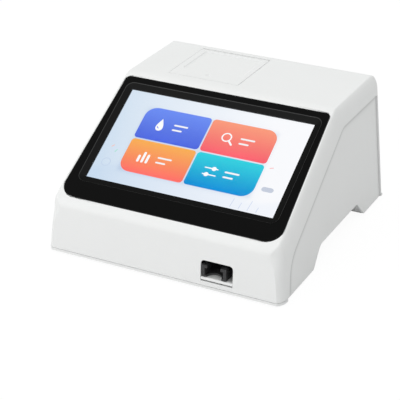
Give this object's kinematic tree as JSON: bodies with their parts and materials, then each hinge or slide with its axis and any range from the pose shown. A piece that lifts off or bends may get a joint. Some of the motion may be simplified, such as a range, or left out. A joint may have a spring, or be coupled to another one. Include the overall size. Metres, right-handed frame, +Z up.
{
  "type": "immunofluorescence analyzer",
  "caption": "Bench-top fluorescence card reader with a sloping touch display, a sliding card holder in the front, a paper printer under a hinged top lid and recessed arched sides.",
  "frame": {"origin": "middle of the footprint, on the surface that the rubber feet stand on", "axes": "+Z up; +Y to the back, so the sloping display and the card slot face -Y; +X to the right as seen from the front"},
  "size_m": [0.282, 0.2918, 0.1571],
  "materials": {
    "white_shell": "fine satin",
    "white_inner": "satin",
    "black_gloss": "semi-gloss",
    "black_matte": "matte",
    "clear_glass": "polished",
    "display": "lit display",
    "board": "solder mask",
    "sheet_steel": "plain",
    "bright_steel": "bright",
    "anodised": "black anodised",
    "brass": "turned",
    "rubber": "matte",
    "paper": "plain",
    "gear_plastic": "moulded",
    "tinted_glass": "coated"
  },
  "bodies": {
    "housing": {"upper_casing": "white_shell", "left_side_panel": "white_shell", "right_side_panel": "white_shell", "base_plate": "white_shell", "screen_bezel": "black_gloss", "touch_glass": "clear_glass", "display_panel": "display", "display_bracket": "sheet_steel", "rear_panel": "white_inner", "socket_board": "board", "power_socket": "black_matte", "data_socket_1": "bright_steel", "data_socket_2": "bright_steel", "network_socket": "bright_steel", "power_switch_frame": "black_matte", "fan_frame": "black_matte", "main_board": "board", "loudspeaker": "black_matte", "transport_frame": "sheet_steel", "guide_rod_left": "bright_steel", "guide_rod_right": "bright_steel", "screw_bearing": "brass", "stepper_motor": "sheet_steel", "light_shield": "black_matte", "optics_bridge": "sheet_steel", "optical_head": "anodised", "excitation_lamp": "anodised", "excitation_filter": "tinted_glass", "dichroic_mirror": "clear_glass", "objective_lens": "clear_glass", "emission_filter": "tinted_glass", "photodiode": "bright_steel", "detector_board": "board", "paper_bin": "black_matte", "print_head": "sheet_steel", "printer_motor": "sheet_steel", "lid_hinge_pin": "bright_steel", "rubber_foot_front_left": "rubber", "rubber_foot_front_right": "rubber", "rubber_foot_rear_left": "rubber", "rubber_foot_rear_right": "rubber", "base_screw_front_left": "bright_steel", "base_screw_front_right": "bright_steel", "base_screw_rear_left": "bright_steel", "base_screw_rear_right": "bright_steel"},
    "tray": {"card_tray": "white_inner", "card_holder": "black_matte", "tray_nut": "brass"},
    "screw": {"lead_screw": "bright_steel"},
    "lid": {"printer_lid": "white_shell"},
    "platen": {"platen_shaft": "bright_steel", "platen_sleeve": "rubber", "platen_gear": "gear_plastic"},
    "pinion": {"motor_pinion": "gear_plastic"},
    "roll": {"paper_roll": "paper"},
    "rocker": {"switch_rocker": "black_gloss"},
    "fan": {"fan_rotor": "black_matte"}
  },
  "joints": [
    {"name": "tray_slide", "type": "slide", "parent": "housing", "child": "tray", "axis": [0, -1, 0], "range_m": [0, 0.05]},
    {"name": "lead_screw_spin", "type": "hinge", "parent": "housing", "child": "screw", "pos_m": [0.0334, -0.13785, 0.017], "axis": [0, 1, 0], "range_deg": [0, 3600]},
    {"name": "printer_lid_hinge", "type": "hinge", "parent": "housing", "child": "lid", "pos_m": [-0.039, 0.11571, 0.15344], "axis": [-1, 0, 0], "range_deg": [0, 90]},
    {"name": "platen_spin", "type": "hinge", "parent": "lid", "child": "platen", "pos_m": [-0.039, 0.03811, 0.14794], "axis": [1, 0, 0], "continuous": true},
    {"name": "pinion_spin", "type": "hinge", "parent": "housing", "child": "pinion", "pos_m": [-0.039, 0.04665, 0.14218], "axis": [1, 0, 0], "continuous": true},
    {"name": "paper_roll_spin", "type": "hinge", "parent": "housing", "child": "roll", "pos_m": [-0.039, 0.09141, 0.12814], "axis": [1, 0, 0], "continuous": true},
    {"name": "switch_rocker_tilt", "type": "hinge", "parent": "housing", "child": "rocker", "pos_m": [-0.082, 0.1398, 0.04168], "axis": [-1, 0, 0], "range_deg": [0, 14]},
    {"name": "fan_spin", "type": "hinge", "parent": "housing", "child": "fan", "pos_m": [0.066, 0.14088, 0.07383], "axis": [0, 0.9976, 0.0691], "continuous": true}
  ],
  "couplings": [
    {"joint": "lead_screw_spin", "follows": "tray_slide", "rad_per_m": 1256.6},
    {"joint": "pinion_spin", "follows": "platen_spin", "ratio": -1.4286}
  ]
}
